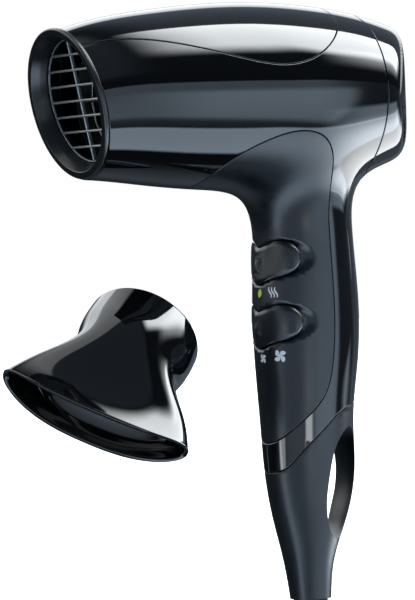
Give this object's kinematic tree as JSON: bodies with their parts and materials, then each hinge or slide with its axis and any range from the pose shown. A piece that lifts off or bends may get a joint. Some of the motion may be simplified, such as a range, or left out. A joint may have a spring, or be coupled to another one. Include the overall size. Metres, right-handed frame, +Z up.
{
  "type": "travel hair dryer",
  "caption": "Compact pistol-grip hair dryer with slanted grilled outlet, two rocker switches, hang loop and loose concentrator nozzle.",
  "frame": {"origin": "in the middle of the hand grip, on the middle plane, just below the upper rocker", "axes": "+Z up along the handle towards the barrel, +X towards the rear intake so the outlet faces -X, +Y to the left of someone who holds it and looks along the air stream; the barrel axis is parallel to X"},
  "size_m": [0.1839, 0.0788, 0.2563],
  "materials": {
    "gloss_black": "high gloss black",
    "soft_matte_black": "fine satin blue-black",
    "grille_silver": "silver grey",
    "steel": "plain",
    "mica": "matte mica sheet",
    "nichrome": "oxidised wire",
    "nylon_grey": "moulded",
    "nylon_black": "moulded",
    "circuit_board": "laminate",
    "black_rubber": "matte",
    "lead_sleeving": "glass sleeving"
  },
  "bodies": {
    "casing": {"housing_left": "gloss_black", "housing_right": "gloss_black", "barrel_top_cover": "gloss_black", "handle_cover": "soft_matte_black", "handle_end": "soft_matte_black", "rear_cap": "gloss_black", "rear_grille": "soft_matte_black", "dust_screen": "nylon_black", "outlet_ring": "soft_matte_black", "outlet_grille": "grille_silver", "heater_sleeve": "mica", "mica_board_upright": "mica", "mica_board_cross": "mica", "heating_coil_low": "nichrome", "heating_coil_high": "nichrome", "thermostat": "steel", "thermal_fuse": "steel", "fan_housing": "nylon_grey", "motor_can": "steel", "motor_end_cap": "nylon_black", "rectifier_board": "circuit_board", "rectifier_diode_1": "nylon_black", "rectifier_diode_2": "nylon_black", "rectifier_diode_3": "nylon_black", "rectifier_diode_4": "nylon_black", "heat_switch_body": "nylon_black", "speed_switch_body": "nylon_black", "switch_frame": "nylon_black", "heat_rocker_pin": "steel", "speed_rocker_pin": "steel", "cord_gland": "black_rubber", "cord_clamp": "nylon_black", "clamp_screw_left": "steel", "clamp_screw_right": "steel", "housing_screw_upper": "steel", "housing_screw_lower": "steel", "supply_lead_live": "lead_sleeving", "supply_lead_neutral": "lead_sleeving", "heater_lead": "lead_sleeving"},
    "fan": {"fan": "nylon_black", "motor_shaft": "steel"},
    "heat_rocker": {"heat_rocker": "soft_matte_black"},
    "speed_rocker": {"speed_rocker": "soft_matte_black"},
    "heat_slider": {"heat_slider": "nylon_grey"},
    "speed_slider": {"speed_slider": "nylon_grey"},
    "nozzle": {"concentrator_nozzle": "gloss_black"}
  },
  "joints": [
    {"name": "fan_spin", "type": "hinge", "parent": "casing", "child": "fan", "pos_m": [0, 0, 0.0997], "axis": [1, 0, 0], "continuous": true},
    {"name": "heat_rocker_turn", "type": "hinge", "parent": "casing", "child": "heat_rocker", "pos_m": [-0.009, 0, 0.0303], "axis": [0, 0, 1], "range_deg": [-7, 7]},
    {"name": "speed_rocker_turn", "type": "hinge", "parent": "casing", "child": "speed_rocker", "pos_m": [-0.009, 0, 0.0033], "axis": [0, 0, 1], "range_deg": [-7, 7]},
    {"name": "heat_slider_travel", "type": "slide", "parent": "casing", "child": "heat_slider", "axis": [0, 1, 0], "range_m": [-0.0008, 0.0008]},
    {"name": "speed_slider_travel", "type": "slide", "parent": "casing", "child": "speed_slider", "axis": [0, 1, 0], "range_m": [-0.0008, 0.0008]},
    {"name": "nozzle_lift", "type": "slide", "parent": "casing", "child": "nozzle", "axis": [0.696, 0.447, 0.562], "range_m": [0, 0.03]}
  ],
  "couplings": [
    {"joint": "heat_slider_travel", "follows": "heat_rocker_turn", "m_per_rad": 0.0058},
    {"joint": "speed_slider_travel", "follows": "speed_rocker_turn", "m_per_rad": 0.0058}
  ]
}
